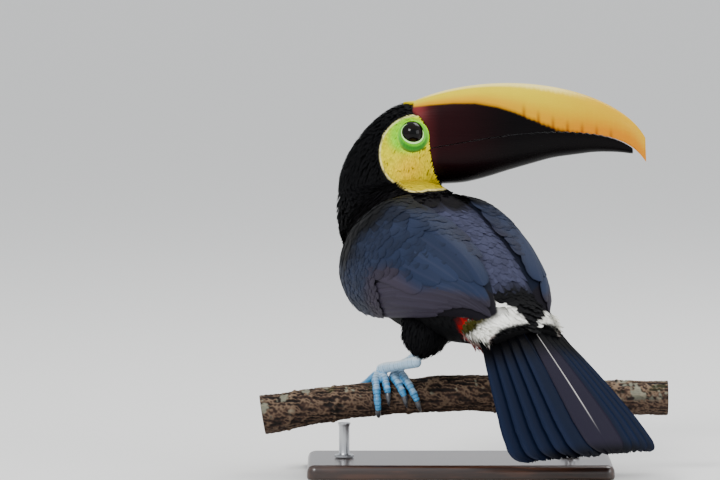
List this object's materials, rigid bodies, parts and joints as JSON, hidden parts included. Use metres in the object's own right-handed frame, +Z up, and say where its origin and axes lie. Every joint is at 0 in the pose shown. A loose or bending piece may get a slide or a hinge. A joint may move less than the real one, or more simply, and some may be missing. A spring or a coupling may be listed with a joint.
{
  "type": "toucan on a perch",
  "caption": "Life-size toucan gripping a cut branch and looking back over its shoulder, with a long curved bill and a fanned tail, held up by rods on a flat base.",
  "frame": {"origin": "middle of the underside of the stand's base, on the floor", "axes": "+Z up; +X along the branch, the way the bill points; -Y the side on which the back and the tail are seen"},
  "size_m": [0.3106, 0.2577, 0.2938],
  "materials": {
    "black_plumage": "velvety feathers, matt, faint blue sheen",
    "white_plumage": "loose fluffy feathers, matt",
    "red_plumage": "fine feathers, matt",
    "slate_plumage": "smooth vaned feathers, slight silky sheen",
    "tail_plumage": "long vaned feathers with raised shafts, slight sheen",
    "yellow_bill": "smooth horn, half gloss",
    "dark_bill": "smooth horn, half gloss",
    "green_skin": "bare wrinkled skin, satin",
    "eye_brown": "wet cornea over a dark iris, full gloss",
    "blue_scales": "banded scales, satin",
    "claw_horn": "horn, half gloss",
    "bark": "rough bark, matt",
    "stand_wood": "dark varnished wood, satin",
    "rod_steel": "brushed"
  },
  "bodies": {
    "root": {"bill_lower": "dark_bill", "bill_upper": "yellow_bill", "claw_left_1": "claw_horn", "claw_left_2": "claw_horn", "claw_left_3": "claw_horn", "claw_left_4": "claw_horn", "claw_right_1": "claw_horn", "claw_right_2": "claw_horn", "claw_right_3": "claw_horn", "claw_right_4": "claw_horn", "eye_left": "eye_brown", "eye_right": "eye_brown", "foot_left": "blue_scales", "foot_right": "blue_scales", "head": "black_plumage", "neck": "black_plumage", "orbital_ring_left": "green_skin", "orbital_ring_right": "green_skin", "perch": "bark", "stand_base": "stand_wood", "stand_rod_1": "rod_steel", "stand_rod_2": "rod_steel", "tail_left_1": "tail_plumage", "tail_left_2": "tail_plumage", "tail_left_3": "tail_plumage", "tail_left_4": "tail_plumage", "tail_left_5": "tail_plumage", "tail_right_1": "tail_plumage", "tail_right_2": "tail_plumage", "tail_right_3": "tail_plumage", "tail_right_4": "tail_plumage", "tail_right_5": "tail_plumage", "tarsus_left": "blue_scales", "tarsus_right": "blue_scales", "thigh_left": "black_plumage", "thigh_right": "black_plumage", "toe_left_1": "blue_scales", "toe_left_2": "blue_scales", "toe_left_3": "blue_scales", "toe_left_4": "blue_scales", "toe_right_1": "blue_scales", "toe_right_2": "blue_scales", "toe_right_3": "blue_scales", "toe_right_4": "blue_scales", "trunk": "black_plumage", "undertail_coverts": "red_plumage", "uppertail_coverts": "white_plumage", "wing_left": "slate_plumage", "wing_right": "slate_plumage"}
  },
  "joints": []
}
